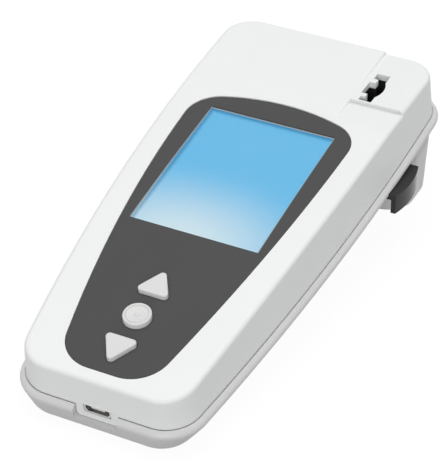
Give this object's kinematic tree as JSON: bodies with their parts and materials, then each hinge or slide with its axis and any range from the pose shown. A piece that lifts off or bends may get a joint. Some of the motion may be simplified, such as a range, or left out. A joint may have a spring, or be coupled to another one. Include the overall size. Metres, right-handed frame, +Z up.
{
  "type": "point-of-care analyzer",
  "caption": "Handheld point-of-care analyzer: wedge casing with an inset colour screen, three keys, a keyed sensor slot at the rear right and a side lever that ejects the used sensor.",
  "frame": {"origin": "middle of the rear foot's underside, on the table", "axes": "+Z up, +Y to the rear end with the sensor slot, +X to the right-hand side with the lever"},
  "size_m": [0.0734, 0.1538, 0.0397],
  "materials": {
    "white_plastic": "fine satin moulding",
    "grey_white_plastic": "fine satin moulding",
    "dark_panel": "matt film",
    "screen_glass": "polished",
    "display": "lit display",
    "black_plastic": "moulded",
    "key_plastic": "satin",
    "switch_plastic": "moulded",
    "circuit_board": "solder mask",
    "tinned_steel": "tinned",
    "battery_wrap": "shrink wrap",
    "clear_lens": "polished",
    "aluminium": "milled",
    "lever_plastic": "satin",
    "steel": "plated",
    "foot_rubber": "matt"
  },
  "bodies": {
    "casing": {"upper_shell": "white_plastic", "lower_shell": "grey_white_plastic", "front_panel": "dark_panel", "screen_window": "screen_glass", "display_module": "display", "display_frame": "black_plastic", "key_switches": "switch_plastic", "main_board": "circuit_board", "processor_shield": "tinned_steel", "buzzer": "black_plastic", "battery": "battery_wrap", "usb_board": "circuit_board", "usb_socket": "tinned_steel", "usb_tongue": "black_plastic", "sensor_guide": "black_plastic", "light_board": "circuit_board", "light_source": "clear_lens", "camera_board": "circuit_board", "camera_lens": "clear_lens", "heater_plate": "aluminium", "lever_pin": "steel", "lever_spring": "steel", "casing_screws": "steel", "board_screws": "steel", "usb_screws": "steel", "guide_screws": "steel", "rear_foot": "foot_rubber", "front_feet": "foot_rubber"},
    "up_key": {"up_key": "key_plastic"},
    "select_key": {"select_key": "key_plastic"},
    "down_key": {"down_key": "key_plastic"},
    "eject_lever": {"eject_lever": "lever_plastic"},
    "eject_plunger": {"eject_plunger": "lever_plastic"}
  },
  "joints": [
    {"name": "up_key_press", "type": "slide", "parent": "casing", "child": "up_key", "axis": [0, 0.1175, -0.9931], "range_m": [0, 0.0005], "stiffness_N_per_m": 2000, "springref_m": -0.0003},
    {"name": "select_key_press", "type": "slide", "parent": "casing", "child": "select_key", "axis": [0, 0.1175, -0.9931], "range_m": [0, 0.0005], "stiffness_N_per_m": 2000, "springref_m": -0.0003},
    {"name": "down_key_press", "type": "slide", "parent": "casing", "child": "down_key", "axis": [0, 0.1175, -0.9931], "range_m": [0, 0.0005], "stiffness_N_per_m": 2000, "springref_m": -0.0003},
    {"name": "lever_press", "type": "hinge", "parent": "casing", "child": "eject_lever", "pos_m": [0.0285, -0.02345, 0.01825], "axis": [0, 1, 0], "range_deg": [0, 18], "stiffness_Nm_per_rad": 0.002, "springref_deg": -5.73},
    {"name": "plunger_lift", "type": "slide", "parent": "casing", "child": "eject_plunger", "axis": [0, 0, 1], "range_m": [0, 0.0027]}
  ],
  "couplings": [
    {"joint": "lever_press", "follows": "plunger_lift", "rad_per_m": 116.28}
  ]
}
